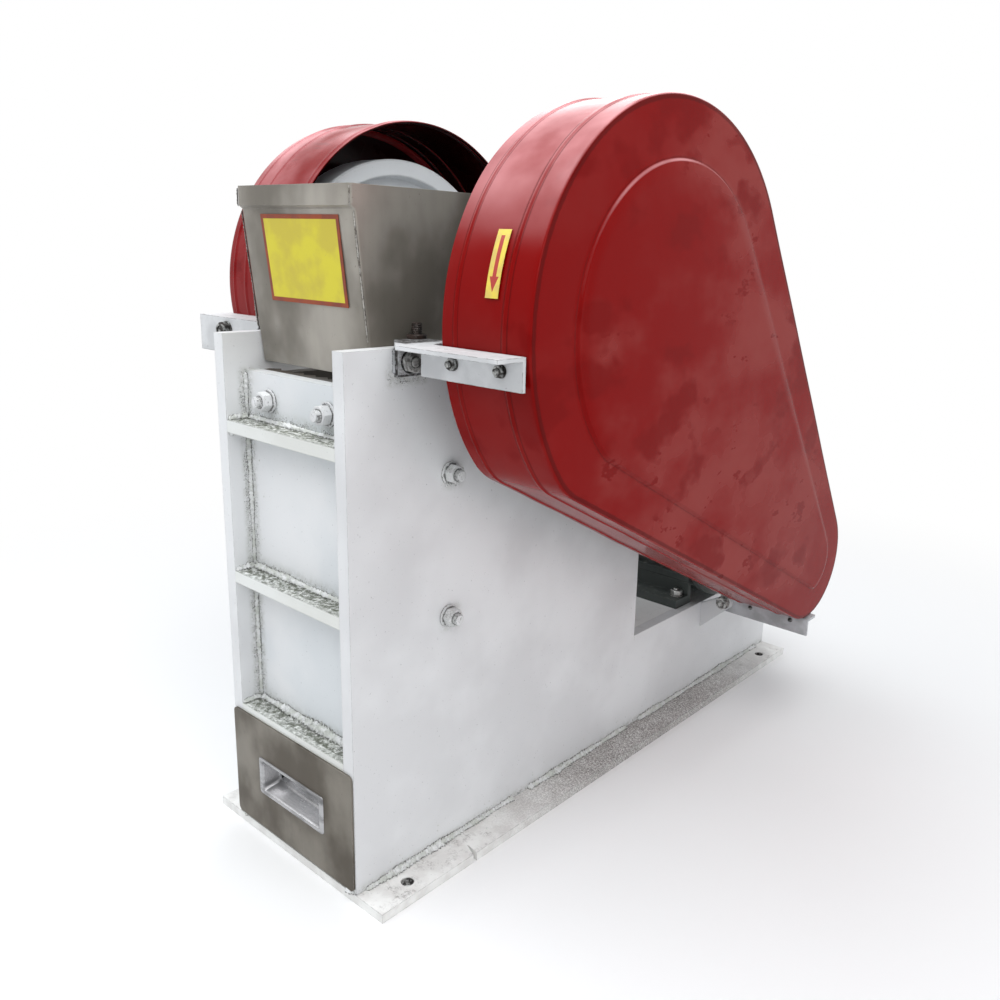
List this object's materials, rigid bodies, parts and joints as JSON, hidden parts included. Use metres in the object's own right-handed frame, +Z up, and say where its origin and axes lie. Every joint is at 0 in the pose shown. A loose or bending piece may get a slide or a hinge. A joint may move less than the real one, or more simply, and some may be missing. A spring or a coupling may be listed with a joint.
{
  "type": "jaw crusher",
  "caption": "Small jaw crusher on a base plate, with feed hopper, toothed jaws, belt drive under a red guard, covered flywheel and a drawer for the crushed stone.",
  "frame": {"origin": "centre of the base plate's underside, on the floor", "axes": "+X to the belt guard's side, +Y from the drawer to the motor, +Z up"},
  "size_m": [0.512, 0.8738, 0.8115],
  "materials": {
    "white_paint": "brushed-on satin white paint over welded plate",
    "grey_paint": "thin light grey paint over angle steel",
    "red_paint": "gloss dark red enamel",
    "stainless": "brushed stainless sheet",
    "pull_chrome": "satin plated pull",
    "manganese_steel": "cast wearing steel",
    "cast_steel": "painted casting",
    "cast_iron": "turned grey iron",
    "bright_steel": "turned steel",
    "belt_rubber": "matt black rubber",
    "motor_paint": "dark grey-green paint",
    "fastener_steel": "zinc plated steel"
  },
  "bodies": {
    "frame": {"adjusting_bolts": "fastener_steel", "base_plate": "white_paint", "bearing_block_left": "cast_steel", "bearing_block_right": "cast_steel", "bearing_bolts": "fastener_steel", "bearing_seat_left": "white_paint", "bearing_seat_right": "white_paint", "belt_guard": "red_paint", "bracket_bolts": "fastener_steel", "cheek_bolts_left": "fastener_steel", "cheek_bolts_right": "fastener_steel", "cheek_plate_left": "manganese_steel", "cheek_plate_right": "manganese_steel", "clamp_bolts": "fastener_steel", "drawer_runners": "white_paint", "fixed_jaw": "manganese_steel", "flywheel_hood": "red_paint", "front_rib_lower": "white_paint", "front_rib_middle": "white_paint", "front_rib_upper": "white_paint", "front_wall": "white_paint", "guard_bracket_front": "grey_paint", "guard_bracket_rear": "grey_paint", "hood_bracket_front": "grey_paint", "hood_bracket_rear": "grey_paint", "hopper": "stainless", "hopper_clamps": "grey_paint", "jaw_bolts": "fastener_steel", "motor_body": "motor_paint", "motor_bolts": "fastener_steel", "motor_deck": "white_paint", "motor_fan_cowl": "motor_paint", "motor_pulley": "cast_iron", "motor_terminal_box": "motor_paint", "pitman": "cast_steel", "rear_bracket_lug": "white_paint", "rear_cross_plate": "white_paint", "rear_end_plate": "white_paint", "side_plate_left": "white_paint", "side_plate_right": "white_paint", "swing_jaw": "manganese_steel", "tension_rod": "bright_steel", "tension_spring": "bright_steel", "toggle_plate": "cast_steel", "toggle_seat": "cast_steel", "v_belts": "belt_rubber"},
    "rotor": {"eccentric_shaft": "bright_steel", "shaft_end_caps": "bright_steel", "flywheel": "cast_iron", "driven_pulley": "cast_iron"},
    "drawer": {"drawer_tray": "stainless", "drawer_front": "stainless", "drawer_handle": "pull_chrome"}
  },
  "joints": [
    {"name": "shaft_turn", "type": "hinge", "parent": "frame", "child": "rotor", "pos_m": [0, -0.154, 0.592], "axis": [1, 0, 0], "continuous": true},
    {"name": "drawer_slide", "type": "slide", "parent": "frame", "child": "drawer", "axis": [0, -1, 0], "range_m": [0, 0.25]}
  ]
}
